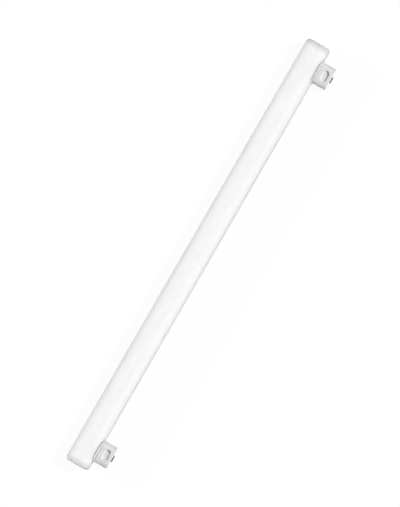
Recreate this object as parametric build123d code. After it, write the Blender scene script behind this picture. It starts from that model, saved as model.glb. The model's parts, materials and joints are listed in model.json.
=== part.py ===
from build123d import *

import math
import os

# A linear lamp: an opal glass tube, closed at both ends, with a moulded cap cemented on near each end.
# A cap plugs into a holder, whose springs snap into the pocket on each of the cap's flat sides,
# and the current goes in through the brass contact plate on the cap's outer end.
# Each piece is modelled with the tube along X and the caps towards -Y.
# The lamp is then laid on a level surface, where it rests on its tube and on the tips of both caps.

# Tube, in millimetres
tube_diameter = 27.0
tube_shoulder_radius = 4.0
cap_spacing = 450.0  # from the middle of one cap to the middle of the other
left_overhang = 23.7  # from the middle of the left cap to the tube's left end
right_overhang = 26.3

# Cap: an upright block with rounded ends, longer along the tube than across it
cap_length = 24.2
cap_depth = 15.0
cap_end_flat = 2.6  # flat left between the two rounded corners of an end
cap_reach = 15.2  # from the tube's surface to the cap's outer end
cap_edge_radius = 1.0

# Collar round the foot of a cap, curved to follow the tube
collar_overhang = 0.65
collar_thickness = 1.7
cement_gap = 0.3  # between the cap's saddle and the glass

# Snap-in pocket on each flat side of a cap, with sloping walls
pocket_length = 12.7
pocket_width = 7.1
pocket_depth = 2.8
pocket_wall_run = 1.3  # how far a wall leans in from the rim to the floor
pocket_height = 7.7  # from the tube's surface to the pocket's middle

# Contact plate, with a stem pressed into the cap
contact_length = 7.0
contact_depth = 9.6
contact_rise = 1.3
contact_corner_radius = 1.0
contact_edge_chamfer = 0.3
stem_diameter = 3.2
stem_length = 6.0
stem_clearance = 0.05

# Sizes that follow from those above
tube_radius = tube_diameter / 2
tube_length = left_overhang + cap_spacing + right_overhang
left_cap_x = left_overhang - tube_length / 2
right_cap_x = tube_length / 2 - right_overhang
cap_end = tube_radius + cap_reach
cap_corner_radius = (cap_depth - cap_end_flat) / 2


def rod_along_tube(radius, length):
    return Cylinder(radius, length, rotation=(0, 90, 0))


def glass_tube():
    tube = rod_along_tube(tube_radius, tube_length)
    shoulders = tube.edges().filter_by(GeomType.CIRCLE)
    return fillet(shoulders, tube_shoulder_radius)


def cap_outline(margin):
    """The cap's outline on the plane through the tube's axis, grown by a margin all round."""
    outline = RectangleRounded(cap_length + 2 * margin, cap_depth + 2 * margin, cap_corner_radius + margin)
    return Plane.XZ * outline


def cap_block():
    block = extrude(cap_outline(0), cap_end)
    outer_face = block.faces().sort_by(Axis.Y)[0]
    return fillet(outer_face.edges(), cap_edge_radius)


def collar():
    """The collar and all that it surrounds, in to the plane through the tube's axis."""
    collar_radius = tube_radius + collar_thickness
    column = extrude(cap_outline(collar_overhang), collar_radius)
    return column & rod_along_tube(collar_radius, 2 * cap_length)


def pocket(side):
    """The space of one pocket. It reaches past the cap's flat face by as much as it goes in."""
    middle = (0, -(tube_radius + pocket_height), side * cap_depth / 2)
    face = Plane(origin=middle, x_dir=(1, 0, 0), z_dir=(0, 0, side))

    def section(out, lean):
        return face.offset(out) * SlotOverall(pocket_length + 2 * lean, pocket_width + 2 * lean)

    outside = section(pocket_depth, pocket_wall_run)
    floor = section(-pocket_depth, -pocket_wall_run)
    return loft([outside, floor], ruled=True)


def cap():
    saddle = rod_along_tube(tube_radius + cement_gap, 2 * cap_length)
    shape = cap_block() + collar() - saddle
    for side in (-1, 1):
        shape -= pocket(side)
    stem_hole = Plane.XZ.offset(cap_end) * Circle(stem_diameter / 2 + stem_clearance)
    return shape - extrude(stem_hole, -(stem_length + stem_clearance))


def contact():
    seat = Plane.XZ.offset(cap_end)
    outline = RectangleRounded(contact_length, contact_depth, contact_corner_radius)
    plate = extrude(seat * outline, contact_rise)
    outer_face = plate.faces().sort_by(Axis.Y)[0]
    plate = chamfer(outer_face.edges(), contact_edge_chamfer)
    return plate + extrude(seat * Circle(stem_diameter / 2), -stem_length)


def rest_tilt():
    """Degrees that the caps dip when the lamp lies on its tube and on the lower outer edge of each cap."""
    edge_reach = cap_end - cap_edge_radius
    edge_drop = cap_depth / 2 - cap_edge_radius
    edge_distance = math.hypot(edge_reach, edge_drop)
    tangent_angle = math.asin((tube_radius - cap_edge_radius) / edge_distance)
    return math.degrees(tangent_angle - math.atan2(edge_drop, edge_reach))


upright = {
    "glass_tube": glass_tube(),
    "left_cap": Pos(X=left_cap_x) * cap(),
    "right_cap": Pos(X=right_cap_x) * cap(),
    "left_contact": Pos(X=left_cap_x) * contact(),
    "right_contact": Pos(X=right_cap_x) * contact(),
}

# Laid down, the lamp touches the surface at Z = 0, and its box is centred over the origin.
tilted = {name: Rot(X=rest_tilt()) * shape for name, shape in upright.items()}
box = Compound(list(tilted.values())).bounding_box()
onto_surface = Pos(-box.center().X, -box.center().Y, -box.min.Z)

os.makedirs("parts", exist_ok=True)
for name, shape in tilted.items():
    export_step(onto_surface * shape, f"parts/{name}.step")
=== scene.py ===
# %% [markdown]
# # A linear opal lamp with two side caps
# The real lamp is a straight glass tube, opal white and closed flat at both ends. A moulded cap is cemented
# to its side near each end, and a small brass contact sits on the outer end of each cap.
# The solid model gives every piece its size and place. This lesson loads it and dresses it: first the
# picture, then the tube, the caps and the contacts, each with its own finish.

import json
import math

import bpy
import numpy as np
from mathutils import Matrix, Vector


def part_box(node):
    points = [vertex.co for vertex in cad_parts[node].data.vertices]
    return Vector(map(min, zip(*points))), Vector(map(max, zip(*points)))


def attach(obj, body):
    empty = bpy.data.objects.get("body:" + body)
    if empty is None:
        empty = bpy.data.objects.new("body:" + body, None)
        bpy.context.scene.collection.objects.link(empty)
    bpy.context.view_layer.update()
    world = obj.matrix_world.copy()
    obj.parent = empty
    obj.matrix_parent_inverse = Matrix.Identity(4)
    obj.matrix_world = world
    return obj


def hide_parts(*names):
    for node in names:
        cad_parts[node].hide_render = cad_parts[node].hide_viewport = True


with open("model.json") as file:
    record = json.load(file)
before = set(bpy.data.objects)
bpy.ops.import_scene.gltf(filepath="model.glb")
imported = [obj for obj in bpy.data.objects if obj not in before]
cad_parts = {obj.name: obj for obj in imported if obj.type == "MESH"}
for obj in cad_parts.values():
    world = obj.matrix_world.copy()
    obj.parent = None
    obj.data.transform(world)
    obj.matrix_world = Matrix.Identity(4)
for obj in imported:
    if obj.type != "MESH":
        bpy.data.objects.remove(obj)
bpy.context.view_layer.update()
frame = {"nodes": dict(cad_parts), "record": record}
print("nodes:", ", ".join(sorted(frame["nodes"])))

# %% [markdown]
# ## Where the lamp lies
# The lamp lies on its tube and on the tips of both caps, so the caps point a little downwards. Three
# directions describe it: along the tube, outward from the tube to the tip of a cap, and across both. A cap is
# easiest to model standing up, with the tube along X and its tip towards Z, and one matrix then lays it where
# it belongs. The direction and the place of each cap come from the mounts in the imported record, so nothing is
# fitted by eye.

# %% Directions and places
MM = 0.001  # one millimetre in metres
tube_radius = 13.5
cap_reach = 15.2  # from the tube's surface to the cap's outer end
contact_rise = 1.3
cap_end = tube_radius + cap_reach

mounts = {mount["name"]: mount for mount in frame["record"]["mounts"]}
sides = ("left", "right")
along = Vector((1, 0, 0))
outward = Vector(mounts["left_contact_face"]["axis"]).normalized()
across = outward.cross(along)


def cap_root(side):
    """The point of the tube's axis, in metres, that a cap stands over."""
    return Vector(mounts[f"{side}_contact_face"]["pos_m"]) - outward * (cap_end + contact_rise) * MM


def laid_down(side):
    """Turns a cap's upright millimetres into the metres of the laid lamp."""
    turn = Matrix((along, across, outward)).transposed().to_4x4()
    return Matrix.Translation(cap_root(side)) @ turn @ Matrix.Scale(MM, 4)


tube_low, tube_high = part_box("glass_tube")
tube_length = (tube_high.x - tube_low.x) / MM
tube_middle = Vector(((tube_low.x + tube_high.x) / 2, cap_root("left").y, cap_root("left").z))
print(f"tube {tube_length:.1f} mm long, its middle at {[round(c / MM, 3) for c in tube_middle]} mm")

# %% [markdown]
# ## The picture
# The lamp is seen square on, with its tube leaning to the right and no taper from end to end, so the camera
# looks straight down the direction across, turned by the lean, through a very long lens from far away. An
# orthographic camera would do as well, but a long lens keeps the camera easy to move round the lamp.

# %% Camera
picture_height = 522.1  # millimetres of the lamp's plane from the picture's lower edge to its upper edge
picture_shift = Vector((2.07, 0.855))  # the picture's middle, right of and above the tube's middle
lean = math.radians(30)  # between the tube and the picture's upright
lens, sensor = 400.0, 36.0
view_end = 100.0  # metres to the furthest thing that the camera shows

picture_right = along * math.sin(lean) + outward * math.cos(lean)
picture_up = along * math.cos(lean) - outward * math.sin(lean)
distance = picture_height * lens / sensor
middle = tube_middle + (picture_right * picture_shift.x + picture_up * picture_shift.y) * MM

camera = bpy.data.objects.new("camera", bpy.data.cameras.new("camera"))
bpy.context.scene.collection.objects.link(camera)
camera.data.lens = lens
camera.data.sensor_width = sensor
camera.data.clip_end = view_end
axes = Matrix((picture_right, picture_up, across)).transposed().to_4x4()
camera.matrix_world = Matrix.Translation(middle + across * distance * MM) @ axes
bpy.context.scene.camera = camera
print(f"camera {distance * MM:.2f} m from the lamp")

# %% Colours as written
bpy.context.scene.view_settings.view_transform = "Standard"
print("view:", bpy.context.scene.view_settings.view_transform)

# %% [markdown]
# ## Nodes
# Finishes and trees are built node by node. One small function adds a node, sets its options and fills its
# inputs, by a value or by a link from another node. Another turns a colour as it is written in a paint
# program into the linear light that a shader needs.


# %% Helpers for nodes and colours
def add(tree, kind, inputs=None, **options):
    """Adds a node with its options, and fills its inputs with values or with links from other sockets."""
    node = tree.nodes.new(kind)
    for name, value in options.items():
        setattr(node, name, value)
    for key, value in (inputs or {}).items():
        if isinstance(value, bpy.types.NodeSocket):
            tree.links.new(value, node.inputs[key])
        else:
            node.inputs[key].default_value = value
    return node


def linear(hex_colour):
    """An sRGB colour such as #F5F5F4 as linear red, green, blue and alpha."""
    shares = [int(hex_colour[i:i + 2], 16) / 255 for i in (1, 3, 5)]
    return *[c / 12.92 if c <= 0.04045 else ((c + 0.055) / 1.055) ** 2.4 for c in shares], 1.0


def empty_material(name):
    """A material with no nodes but its output, and the Object coordinates that its patterns read."""
    material = bpy.data.materials.new(name)
    material.use_nodes = True
    tree = material.node_tree
    tree.nodes.clear()
    place = add(tree, "ShaderNodeTexCoord").outputs["Object"]
    return material, tree, place, add(tree, "ShaderNodeOutputMaterial")


# %% [markdown]
# ## Floor and surroundings
# The lamp lies on a plain white sheet in a white room. To the camera, and in reflections, the sheet and the
# room are white. On the lamp itself they throw only as much light as a grey sheet in a dim room would, or
# they would wash out the edges of a white lamp. Part of what the camera sees of the sheet is still its lit
# surface, so the lamp keeps its shadow.


# %% Helper for what is seen
def seen_itself(tree):
    """A socket: 1 where a thing is seen, also in gloss or through glass, and 0 where it only throws light."""
    path = add(tree, "ShaderNodeLightPath").outputs
    seen = add(tree, "ShaderNodeMath", {
        0: path["Is Camera Ray"], 1: path["Is Glossy Ray"]}, operation="MAXIMUM")
    seen = add(tree, "ShaderNodeMath", {
        0: seen.outputs[0], 1: path["Is Transmission Ray"]}, operation="MAXIMUM")
    return seen.outputs[0]


# %% Floor
floor_size = 6.0  # metres
white = linear("#FFFFFF")
sheet_on_lamp = linear("#707070")  # the sheet as the lamp sees it
lit_share = 0.05  # how much of the sheet's look is its lit surface

floor_mesh = bpy.data.meshes.new("floor")
corners = [(-1, -1, 0), (1, -1, 0), (1, 1, 0), (-1, 1, 0)]
floor_mesh.from_pydata([Vector(c) * floor_size / 2 for c in corners], [], [range(4)])
floor = bpy.data.objects.new("floor", floor_mesh)
bpy.context.scene.collection.objects.link(floor)

paper, tree, place, output = empty_material("matt white paper sheet")
seen = seen_itself(tree)
glow = add(tree, "ShaderNodeMath", {0: seen, 1: 1 - lit_share}, operation="MULTIPLY")
colour = add(tree, "ShaderNodeMix", {"Factor": seen, "A": sheet_on_lamp, "B": white}, data_type="RGBA")
lit = add(tree, "ShaderNodeBsdfDiffuse", {"Color": colour.outputs["Result"]})
glowing = add(tree, "ShaderNodeEmission", {"Color": white, "Strength": 1.0})
sheet = add(tree, "ShaderNodeMixShader", {0: glow.outputs[0], 1: lit.outputs[0], 2: glowing.outputs[0]})
tree.links.new(sheet.outputs[0], output.inputs["Surface"])
floor_mesh.materials.append(paper)
print(f"floor {floor_size:.0f} m wide")

# %% World
room_light = 0.03  # the room's own light on the lamp

world = bpy.data.worlds.new("white room")
bpy.context.scene.world = world
world.use_nodes = True
tree = world.node_tree
tree.nodes.clear()
room = add(tree, "ShaderNodeBackground", {"Color": white, "Strength": room_light})
backdrop = add(tree, "ShaderNodeBackground", {"Color": white, "Strength": 1.0})
mixed = add(tree, "ShaderNodeMixShader", {0: seen_itself(tree), 1: room.outputs[0], 2: backdrop.outputs[0]})
tree.links.new(mixed.outputs[0], add(tree, "ShaderNodeOutputWorld").inputs["Surface"])
print("room light", room_light)

# %% [markdown]
# ## Lights
# Four lights shine on the lamp. The key comes from the picture's right, and its disc is small enough to leave
# a clear shade in the pocket of a cap. The others are lower, so that they don't fill that shade: one from
# each side of the tube keeps its white even almost out to its edges, and one does the same for the left end.
# Each is a sun, which is the same all along the lamp, as a soft box is from far away. It is given by its
# direction along the tube, outward and across, by the width of its disc in degrees, and by how bright it
# makes a white surface that faces it. Only the key shows in reflections. The low ones would glare along the
# tube when it is seen from an end.


# %% Soft lights
def soft_light(name, direction, disc, brightness):
    towards = (along * direction[0] + outward * direction[1] + across * direction[2]).normalized()
    data = bpy.data.lights.new(name, "SUN")
    data.angle = math.radians(disc)
    data.energy = brightness * math.pi
    light = bpy.data.objects.new(name, data)
    bpy.context.scene.collection.objects.link(light)
    light.location = tube_middle + towards
    light.rotation_mode = "QUATERNION"
    light.rotation_quaternion = towards.to_track_quat("Z", "Y")
    light.visible_glossy = name == "key"
    return light


lights = [
    soft_light("key", (0.40, 0.41, 0.82), 3, 0.865),
    soft_light("tube side", (-0.15, -0.97, 0.17), 10, 0.84),
    soft_light("cap side", (-0.20, 0.90, 0.40), 20, 0.31),
    soft_light("left end", (-1.0, 0.0, 0.015), 2, 0.31)]
print("lights:", ", ".join(light.name for light in lights))

# %% [markdown]
# ## Opal glass
# The tube is drawn soda-lime glass with a white diffusing coat inside. The eye sees an even milky white, with
# a satin gloss and the faintest streaks along the draw. Towards its edges the tube is seen slantwise, through
# more of the clear glass over the coat, so a thin grey line runs round it. In a band round each shoulder the
# white is made a little greyer, and it turns white again on the flat end.
# Subsurface scattering gives the milky depth, stretched noise gives the streaks, and a clear layer with a
# faint tint gives the line. The layer bends no light, so that its tint deepens only close to the edge.

# %% Opal glass finish
streak_width = 2.0 * MM
streak_length = 120.0 * MM
scatter_depth = 12.0 * MM
grey_band = (8.5, 2.5, 1.2)  # from an end to where the white starts to grey, is greyest, and turns white again

opal_glass, tree, place, output = empty_material("opal coated drawn glass")
stretch = add(tree, "ShaderNodeMapping", {
    "Vector": place, "Scale": (streak_width / streak_length, 1, 1)}, vector_type="POINT")
streaks = add(tree, "ShaderNodeTexNoise", {
    "Vector": stretch.outputs[0], "Scale": 1 / streak_width, "Detail": 2.0, "Roughness": 0.5})
tone = add(tree, "ShaderNodeMix", {
    "Factor": streaks.outputs["Fac"], "A": linear("#F4F4F4"), "B": linear("#F8F8F8")}, data_type="RGBA")
from_middle = add(tree, "ShaderNodeMath", {
    0: add(tree, "ShaderNodeSeparateXYZ", {0: place}).outputs["X"]}, operation="ABSOLUTE")
end_x = tube_length / 2 * MM
start_x, greyest_x, whitening_x = (end_x - from_end * MM for from_end in grey_band)
# A grey band round each shoulder: the white greys towards the end, is greyest near it, and turns white again on
# the flat end.
greying = add(tree, "ShaderNodeMapRange", {
    "Value": from_middle.outputs[0], "From Min": start_x, "From Max": greyest_x},
    interpolation_type="SMOOTHSTEP")
grey_share = add(tree, "ShaderNodeMapRange", {
    "Value": from_middle.outputs[0], "From Min": whitening_x, "From Max": end_x,
    "To Min": greying.outputs["Result"], "To Max": 0.0}, interpolation_type="SMOOTHSTEP")
coat = add(tree, "ShaderNodeMix", {
    "Factor": grey_share.outputs["Result"], "A": tone.outputs["Result"], "B": linear("#DCDCDC")}, data_type="RGBA")
glass = add(tree, "ShaderNodeBsdfPrincipled", {
    "Base Color": coat.outputs["Result"], "Roughness": 0.4, "IOR": 1.5, "Specular IOR Level": 0.12,
    "Subsurface Weight": 1.0, "Subsurface Radius": (1, 1, 1), "Subsurface Scale": scatter_depth,
    "Coat Weight": 1.0, "Coat Roughness": 0.4, "Coat IOR": 1.0, "Coat Tint": (0.95, 0.95, 0.95, 1)})
tree.links.new(glass.outputs[0], output.inputs["Surface"])
print("material:", opal_glass.name)

# %% [markdown]
# ## The tube
# The real tube is drawn round and straight, and each end is closed over a flat former, which leaves a rounded
# shoulder. It could be a cylinder with bevelled ends. Here a geometry node tree sweeps a circle along the
# axis and scales it by a rule instead: the rings stand close together round a shoulder, by equal angles, and
# then evenly along the straight run. Its length, radius and shoulder are inputs, so the same tree makes a
# lamp of any size.

# %% Inputs of the tube's tree
shoulder_radius = 4.0
tree = bpy.data.node_groups.new("closed glass tube", "GeometryNodeTree")
sizes = {"Length": tube_length * MM, "Radius": tube_radius * MM, "Shoulder": shoulder_radius * MM}
counts = {"Sides": 160, "Shoulder Rings": 17, "Run Rings": 60}
for name in sizes:
    tree.interface.new_socket(name, in_out="INPUT", socket_type="NodeSocketFloat")
for name in counts:
    tree.interface.new_socket(name, in_out="INPUT", socket_type="NodeSocketInt")
tree.interface.new_socket("Middle", in_out="INPUT", socket_type="NodeSocketVector")
tree.interface.new_socket("Material", in_out="INPUT", socket_type="NodeSocketMaterial")
tree.interface.new_socket("Tube", in_out="OUTPUT", socket_type="NodeSocketGeometry")
given = add(tree, "NodeGroupInput").outputs
print("tube inputs:", ", ".join([*sizes, *counts, "Middle", "Material"]))

# %% Angle of each ring
# The rings are numbered from the left end. A ring's angle round the shoulder it belongs to goes from 0 on the
# flat end to a quarter turn on the straight run.
both_shoulders = add(tree, "ShaderNodeMath", {0: given["Shoulder Rings"], 1: 2.0}, operation="MULTIPLY")
ring_count = add(tree, "ShaderNodeMath", {
    0: both_shoulders.outputs[0], 1: given["Run Rings"]}, operation="ADD")
last_ring = add(tree, "ShaderNodeMath", {0: ring_count.outputs[0], 1: 1.0}, operation="SUBTRACT")
from_left = add(tree, "GeometryNodeInputIndex")
from_right = add(tree, "ShaderNodeMath", {
    0: last_ring.outputs[0], 1: from_left.outputs[0]}, operation="SUBTRACT")
arc_steps = add(tree, "ShaderNodeMath", {0: given["Shoulder Rings"], 1: 1.0}, operation="SUBTRACT")
run_steps = add(tree, "ShaderNodeMath", {0: given["Run Rings"], 1: 1.0}, operation="ADD")
angles = [
    add(tree, "ShaderNodeMapRange", {
        "Value": number.outputs[0], "From Max": arc_steps.outputs[0], "To Max": math.pi / 2}, clamp=True)
    for number in (from_left, from_right)]
past_shoulder = add(tree, "ShaderNodeMath", {
    0: from_left.outputs[0], 1: arc_steps.outputs[0]}, operation="SUBTRACT")
print("tube rings:", 2 * counts["Shoulder Rings"] + counts["Run Rings"])

# %% Place of each ring
# Along the axis a ring stands at its share of the straight run, and inside a shoulder further out by the arc.
half_length = add(tree, "ShaderNodeMath", {0: given["Length"], 1: 0.5}, operation="MULTIPLY")
half_run = add(tree, "ShaderNodeMath", {
    0: half_length.outputs[0], 1: given["Shoulder"]}, operation="SUBTRACT")
run_start = add(tree, "ShaderNodeMath", {0: half_run.outputs[0], 1: -1.0}, operation="MULTIPLY")
on_run = add(tree, "ShaderNodeMapRange", {
    "Value": past_shoulder.outputs[0], "From Max": run_steps.outputs[0],
    "To Min": run_start.outputs[0], "To Max": half_run.outputs[0]}, clamp=True)
cosines = [add(tree, "ShaderNodeMath", {0: angle.outputs[0]}, operation="COSINE") for angle in angles]
to_right = add(tree, "ShaderNodeMath", {
    0: cosines[1].outputs[0], 1: cosines[0].outputs[0]}, operation="SUBTRACT")
ring_x = add(tree, "ShaderNodeMath", {
    0: to_right.outputs[0], 1: given["Shoulder"], 2: on_run.outputs[0]}, operation="MULTIPLY_ADD")
ring_place = add(tree, "ShaderNodeCombineXYZ", {"X": ring_x.outputs[0]})
print(f"straight run {tube_length - 2 * shoulder_radius:.1f} mm long")

# %% Radius of each ring
# The ring's radius is the tube's, less what the shoulder takes off.
angle = add(tree, "ShaderNodeMath", {0: angles[0].outputs[0], 1: angles[1].outputs[0]}, operation="MINIMUM")
sine = add(tree, "ShaderNodeMath", {0: angle.outputs[0]}, operation="SINE")
taken = add(tree, "ShaderNodeMath", {0: sine.outputs[0], 1: 1.0}, operation="SUBTRACT")
ring_radius = add(tree, "ShaderNodeMath", {
    0: taken.outputs[0], 1: given["Shoulder"], 2: given["Radius"]}, operation="MULTIPLY_ADD")
print(f"flat ends {2 * (tube_radius - shoulder_radius):.1f} mm across")

# %% Sweep the circle
axis = add(tree, "GeometryNodeCurvePrimitiveLine", {"Start": (-1, 0, 0), "End": (1, 0, 0)})
rings = add(tree, "GeometryNodeResampleCurve", {"Curve": axis.outputs[0], "Count": ring_count.outputs[0]})
placed = add(tree, "GeometryNodeSetPosition", {
    "Geometry": rings.outputs[0], "Position": ring_place.outputs[0]})
circle = add(tree, "GeometryNodeCurvePrimitiveCircle", {"Resolution": given["Sides"], "Radius": 1.0})
swept = add(tree, "GeometryNodeCurveToMesh", {
    "Curve": placed.outputs[0], "Profile Curve": circle.outputs[0], "Scale": ring_radius.outputs[0],
    "Fill Caps": True})
moved = add(tree, "GeometryNodeTransform", {"Geometry": swept.outputs[0], "Translation": given["Middle"]})
smooth = add(tree, "GeometryNodeSetShadeSmooth", {"Geometry": moved.outputs[0]})
real = add(tree, "GeometryNodeRealizeInstances", {"Geometry": smooth.outputs[0]})
dressed = add(tree, "GeometryNodeSetMaterial", {"Geometry": real.outputs[0], "Material": given["Material"]})
add(tree, "NodeGroupOutput", {"Tube": dressed.outputs[0]})
print("tube tree:", len(tree.nodes), "nodes")

# %% Tube as a plain mesh
tube = bpy.data.objects.new("glass_tube_opal", bpy.data.meshes.new("glass_tube_opal"))
bpy.context.scene.collection.objects.link(tube)
maker = tube.modifiers.new("closed glass tube", "NODES")
maker.node_group = tree
wanted = {**sizes, **counts, "Middle": tube_middle, "Material": opal_glass}
for item in tree.interface.items_tree:
    if item.in_out == "INPUT":
        maker[item.identifier] = wanted[item.name]
made = bpy.data.meshes.new_from_object(tube.evaluated_get(bpy.context.evaluated_depsgraph_get()))
tube.modifiers.remove(maker)
tube.data = made
tube.data.name = tube.name
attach(tube, "root")
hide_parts("glass_tube")
print(f"tube: {len(made.polygons)} faces, {[round(d / MM, 2) for d in tube.dimensions]} mm")

# %% [markdown]
# ## Moulded cap plastic
# The caps are moulded in a pale grey, heat-proof plastic filled with mineral. It is matt, with a fine grain
# from the mould and a slightly uneven tone where the filler lies nearer to the surface. A soft noise moves
# the tone, and a fine one, as coarse as it needs to be to show at all, bumps the surface.

# %% Cap plastic finish
tone_patch = 5.0 * MM
mould_grain = 0.35 * MM  # drawn about three times as coarse as the real grain, to show
grain_height = 0.03 * MM

cap_plastic, tree, place, output = empty_material("moulded mineral filled plastic")
patches = add(tree, "ShaderNodeTexNoise", {"Vector": place, "Scale": 1 / tone_patch, "Detail": 3.0})
tone = add(tree, "ShaderNodeMix", {
    "Factor": patches.outputs["Fac"], "A": linear("#DFDFDE"), "B": linear("#E6E6E6")}, data_type="RGBA")
grain = add(tree, "ShaderNodeTexNoise", {"Vector": place, "Scale": 1 / mould_grain, "Detail": 1.0})
bumps = add(tree, "ShaderNodeBump", {
    "Height": grain.outputs["Fac"], "Strength": 0.12, "Distance": grain_height})
plastic = add(tree, "ShaderNodeBsdfPrincipled", {
    "Base Color": tone.outputs["Result"], "Roughness": 0.5, "IOR": 1.5, "Normal": bumps.outputs["Normal"]})
tree.links.new(plastic.outputs[0], output.inputs["Surface"])
print("material:", cap_plastic.name)

# %% [markdown]
# ## Rings and skins
# A cap and a contact are both upright shapes with a rounded oblong outline, so both can be drawn as a stack
# of rings: each ring is the outline at some height, grown or shrunk a little, and a skin of four-sided faces
# joins ring to ring. Booleans and bevels would reach the same shape, but leave long thin faces round the
# saddle and the pockets. With rings, every edge gets its own small radius and the mesh stays even.

# %% Outline of an oblong
fine_from = 80  # degrees round a corner after which its points can stand closer together


def outline(length, depth, corner, steps):
    """Points round a rounded oblong, anticlockwise from the middle of an end, with their outward normals.
    The steps are the points on half an end, on a corner before and after fine_from, and on half a side."""
    flat_end, flat_side = depth / 2 - corner, length / 2 - corner
    end, turn, last_turn, side = (np.linspace(0, 1, n, endpoint=False) for n in steps)
    angle = np.radians(np.concatenate([turn * fine_from, fine_from + last_turn * (90 - fine_from)]))
    x = np.concatenate([
        np.full(len(end), length / 2), flat_side + corner * np.cos(angle), flat_side * (1 - side), [0]])
    y = np.concatenate([
        flat_end * end, flat_end + corner * np.sin(angle), np.full(len(side) + 1, depth / 2)])
    tilt = np.concatenate([np.zeros(len(end)), angle, np.full(len(side) + 1, math.pi / 2)])
    quarter = np.stack([x, y, np.cos(tilt), np.sin(tilt)], axis=1)
    half = np.concatenate([quarter[:-1], quarter[:0:-1] * (-1, 1, -1, 1)])
    ring = np.concatenate([half, -half])
    return ring[:, :2], ring[:, 2:]


# %% Roundings and heights
def arc(middle_offset, middle_height, radius, start, stop, steps):
    """Points of a rounding in the rings' profile: offsets and heights between two angles in degrees."""
    angle = np.radians(np.linspace(start, stop, steps))
    return np.stack([middle_offset + radius * np.cos(angle), middle_height + radius * np.sin(angle)], axis=1)


def level(ring, height):
    """A ring of points lifted to one height, or each to its own."""
    return np.column_stack([ring, np.broadcast_to(height, len(ring))])


def round_the_tube(ring, height):
    """A ring laid on the tube, at a height above the glass."""
    return level(ring, np.sqrt((tube_radius + height) ** 2 - ring[:, 1] ** 2))


# %% Skin and place
def skin(name, rings, first_pole, last_pole, material, sharp_angle=40):
    """Joins rings into one closed mesh, with a fan of faces to a pole at either end."""
    around = len(rings[0])
    index = np.arange(len(rings) * around).reshape(-1, around)
    beside = np.roll(index, -1, axis=1)
    quads = np.stack([index[:-1], beside[:-1], beside[1:], index[1:]], axis=-1).reshape(-1, 4)
    pole = index.size
    fans = [(pole, b, a) for a, b in zip(index[0], beside[0])]
    fans += [(a, b, pole + 1) for a, b in zip(index[-1], beside[-1])]
    mesh = bpy.data.meshes.new(name)
    mesh.from_pydata(np.concatenate([*rings, [first_pole], [last_pole]]), [], quads.tolist() + fans)
    mesh.polygons.foreach_set("use_smooth", np.ones(len(mesh.polygons), bool))
    mesh.set_sharp_from_angle(angle=math.radians(sharp_angle))
    mesh.materials.append(material)
    return mesh


def dress(name, mesh, side, node):
    """Lays an upright mesh down in its place, where it stands for its solid if it has one."""
    mesh.transform(laid_down(side))
    piece = bpy.data.objects.new(name, mesh)
    bpy.context.scene.collection.objects.link(piece)
    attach(piece, "root")
    if node:
        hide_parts(node)
    print(f"{name}: {len(mesh.polygons)} faces, {[round(d / MM, 2) for d in piece.dimensions]} mm")
    return piece


# %% [markdown]
# ## The caps
# A cap is one moulding. Its foot is a saddle that sits on the tube over a thin bed of cement, with a narrow
# collar round it. A narrow groove between the collar and the rest shows as a dark line. The rest is an oblong
# plug with rounded ends, and on each flat side there is a pocket that a spring of the holder snaps into. The
# rings start under the saddle, go round the collar's edges, through the groove and up the wall, over the
# rounded outer edge and into the hole for the contact's stem. In the walls the rings are fine, and where they
# cross a pocket their points move inwards, by the distance to the pocket's outline.

# %% Cap sizes
cap_length, cap_depth, cap_corner = 24.2, 15.0, 6.2
cap_edge = 1.0
collar_overhang, collar_thickness = 0.65, 1.7
collar_edge, foot_edge = 0.1, 0.1
groove_rise, groove_drop = 0.3, 0.5  # above and below the collar's outer edge
groove_depth, groove_round = 1.1, 0.08
cement_gap = 0.3
pocket_length, pocket_width, pocket_depth, pocket_lean = 12.7, 7.1, 2.8, 1.3
pocket_height = tube_radius + 7.7  # of its middle, from the tube's axis
rim_round, floor_round = 0.1, 0.2
stem_radius, stem_length, stem_clearance = 1.6, 6.0, 0.05
print(f"cap {cap_length} x {cap_depth} mm, {cap_reach} mm out from the tube")


# %% Pockets
def soft_min(a, b, width):
    """The lesser of two values, with the crease between them rounded off."""
    return np.minimum(a, b) - np.clip(width - np.abs(a - b), 0, None) ** 2 / (4 * width)


def pressed_in(ring):
    """A ring of the cap's wall, pressed in where it crosses the pocket on each flat side."""
    x, y, z = ring.T
    straight = (pocket_length - pocket_width) / 2
    inside = pocket_width / 2 - np.hypot(np.clip(np.abs(x) - straight, 0, None), z - pocket_height)
    wall = cap_depth / 2 - inside * pocket_depth / pocket_lean
    pocket = -soft_min(-wall, np.full_like(x, pocket_depth - cap_depth / 2), floor_round)
    return np.column_stack([x, np.sign(y) * soft_min(np.abs(y), pocket, rim_round), z])


# %% Cap mesh
cap_steps = (3, 16, 7, 37)
foot_rings, wall_rings = 5, 72  # where the wall follows the tube, and where its rings are level
straight_from = 16.4  # where the level rings start, from the tube's axis


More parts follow.
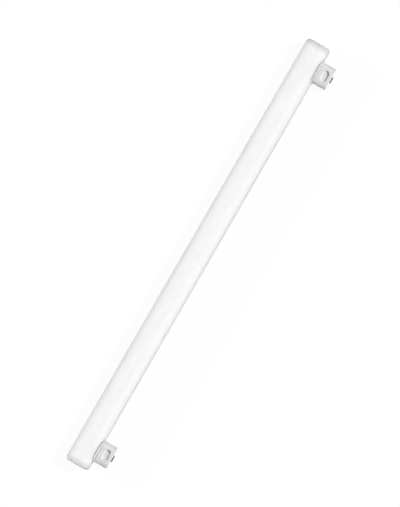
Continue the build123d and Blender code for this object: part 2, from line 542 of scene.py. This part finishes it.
def cap_rings():
    ring, normal = outline(cap_length, cap_depth, cap_corner, cap_steps)
    saddle = ring + normal * (collar_overhang - foot_edge)
    rings = [round_the_tube(saddle * share, cement_gap) for share in (0.1, 0.4, 0.7)]

    groove_top, groove_foot = collar_thickness + groove_rise, collar_thickness - groove_drop
    collar = np.concatenate([
        arc(collar_overhang - foot_edge, cement_gap + foot_edge, foot_edge, -90, 0, 5),
        arc(collar_overhang - collar_edge, collar_thickness - collar_edge, collar_edge, 0, 90, 5),
        arc(groove_round - groove_depth, groove_foot + groove_round, groove_round, 270, 180, 4),
        arc(groove_round - groove_depth, groove_top - groove_round, groove_round, 180, 90, 4),
        arc(-groove_round, groove_top + groove_round, groove_round, -90, 0, 4)])
    rings += [round_the_tube(ring + normal * offset, height) for offset, height in collar]

    wall_foot, straight = rings[-1], level(ring, straight_from)
    shares = np.linspace(0, 1, foot_rings + 2)[1:-1]
    rings += [pressed_in(wall_foot + (straight - wall_foot) * share) for share in shares]
    straight_to = cap_end - cap_edge
    heights = np.linspace(straight_from, straight_to, wall_rings)
    rings += [pressed_in(level(ring, height)) for height in heights]

    outer_edge = arc(-cap_edge, straight_to, cap_edge, 0, 90, 8)[1:]
    rings += [level(ring + normal * offset, height) for offset, height in outer_edge]
    top = ring - normal * cap_edge
    hole = top / np.linalg.norm(top, axis=1, keepdims=True) * (stem_radius + stem_clearance)
    rings += [level(top + (hole - top) * share, cap_end) for share in (0.25, 0.5, 0.75, 1.0)]
    hole_floor = cap_end - stem_length - stem_clearance
    rings += [level(hole, hole_floor), level(hole * 0.5, hole_floor)]
    return rings, (0, 0, tube_radius + cement_gap), (0, 0, hole_floor)


for side in sides:
    cap_mesh = skin(f"{side}_cap_moulded", *cap_rings(), cap_plastic)
    dress(cap_mesh.name, cap_mesh, side, f"{side}_cap")

# %% [markdown]
# ## The cement
# A cap is stuck to the glass with a thin bed of cement, which shows as a fine dark line round its foot. Its
# dark grey tone is partly painted shade, for the shade in the narrow gap round the foot. The bed fills the gap
# under the saddle, and stands back a little from the collar's edge. It is a matt, gritty paste, so noise moves
# both its tone and its surface.

# %% Cement finish
cement_grit = 0.2 * MM
grit_height = 0.05 * MM

cement, tree, place, output = empty_material("set lamp cement, darkened as painted shade")
grit = add(tree, "ShaderNodeTexNoise", {"Vector": place, "Scale": 1 / cement_grit, "Detail": 2.0})
# Both tones are dark partly as painted shade, for the shade in the gap round the cap's foot.
tone = add(tree, "ShaderNodeMix", {
    "Factor": grit.outputs["Fac"], "A": linear("#464644"), "B": linear("#5C5C59")}, data_type="RGBA")
bumps = add(tree, "ShaderNodeBump", {
    "Height": grit.outputs["Fac"], "Strength": 0.4, "Distance": grit_height})
paste = add(tree, "ShaderNodeBsdfPrincipled", {
    "Base Color": tone.outputs["Result"], "Roughness": 0.9, "Normal": bumps.outputs["Normal"]})
tree.links.new(paste.outputs[0], output.inputs["Surface"])
print("material:", cement.name)

# %% Cement bed
cement_setback = 0.05  # from the collar's wall to the bed's edge
cement_play = 0.02  # between the bed and what it joins, so that no two surfaces share a place
bed_low, bed_high = cement_play, cement_gap - cement_play


def cement_rings():
    ring, normal = outline(cap_length, cap_depth, cap_corner, cap_steps)
    edge = ring + normal * (collar_overhang - cement_setback)
    rings = [round_the_tube(edge * share, bed_low) for share in (0.3, 0.6, 1.0)]
    rings += [round_the_tube(edge * share, bed_high) for share in (1.0, 0.6, 0.3)]
    return rings, (0, 0, tube_radius + bed_low), (0, 0, tube_radius + bed_high)


for side in sides:
    bed = skin(f"{side}_cement_bed", *cement_rings(), cement)
    dress(bed.name, bed, side, None)

# %% [markdown]
# ## Contact brass
# The contacts are stamped from brass strip. Their dark grey yellow is a painted reflection: it stands for the
# dark surroundings that the metal mirrors. The eye sees a metal with a soft, blurred shine, fine lines from
# rolling the strip, and darker tarnish in patches.

# %% Brass finish
rolling_line = 0.25 * MM
rolling_length = 4.0 * MM
line_height = 0.02 * MM
tarnish_patch = 2.0 * MM

contact_brass, tree, place, output = empty_material("stamped brass, dark as painted reflection")
stretch = add(tree, "ShaderNodeMapping", {
    "Vector": place, "Scale": (rolling_line / rolling_length, 1, 1)}, vector_type="POINT")
lines = add(tree, "ShaderNodeTexNoise", {
    "Vector": stretch.outputs[0], "Scale": 1 / rolling_line, "Detail": 2.0})
tarnish = add(tree, "ShaderNodeTexNoise", {"Vector": place, "Scale": 1 / tarnish_patch, "Detail": 3.0})
# Both tones are dark as a painted reflection, for the dark surroundings that the metal mirrors.
tone = add(tree, "ShaderNodeMix", {
    "Factor": tarnish.outputs["Fac"], "A": linear("#3F3D34"), "B": linear("#585441")}, data_type="RGBA")
dull = add(tree, "ShaderNodeMapRange", {"Value": tarnish.outputs["Fac"], "To Min": 0.5, "To Max": 0.34})
bumps = add(tree, "ShaderNodeBump", {
    "Height": lines.outputs["Fac"], "Strength": 0.15, "Distance": line_height})
brass = add(tree, "ShaderNodeBsdfPrincipled", {
    "Base Color": tone.outputs["Result"], "Metallic": 1.0, "Roughness": dull.outputs["Result"],
    "Normal": bumps.outputs["Normal"]})
tree.links.new(brass.outputs[0], output.inputs["Surface"])
print("material:", contact_brass.name)

# %% [markdown]
# ## The contacts
# A contact is a small oblong plate with softened edges, on a stem that is pressed into the cap. The same
# rings and skin make it, from the end of the stem up to the plate's middle.

# %% Contact mesh
contact_length, contact_depth, contact_corner, contact_edge = 7.0, 9.6, 1.0, 0.3
contact_steps = (8, 7, 1, 6)


def contact_rings():
    plate, normal = outline(contact_length, contact_depth, contact_corner, contact_steps)
    stem = plate / np.linalg.norm(plate, axis=1, keepdims=True) * stem_radius
    stem_end, face = cap_end - stem_length, cap_end + contact_rise
    rings = [level(stem * 0.5, stem_end), level(stem, stem_end), level(stem, cap_end)]
    rings += [level(stem + (plate - stem) * share, cap_end) for share in (0.5, 1.0)]
    edge = arc(-contact_edge, face - contact_edge, contact_edge, 0, 90, 6)
    rings += [level(plate + normal * offset, height) for offset, height in edge]
    inner = plate - normal * contact_edge
    rings += [level(inner * share, face) for share in (0.66, 0.33)]
    return rings, (0, 0, stem_end), (0, 0, face)


for side in sides:
    contact_mesh = skin(f"{side}_contact_stamped", *contact_rings(), contact_brass)
    dress(contact_mesh.name, contact_mesh, side, f"{side}_contact")
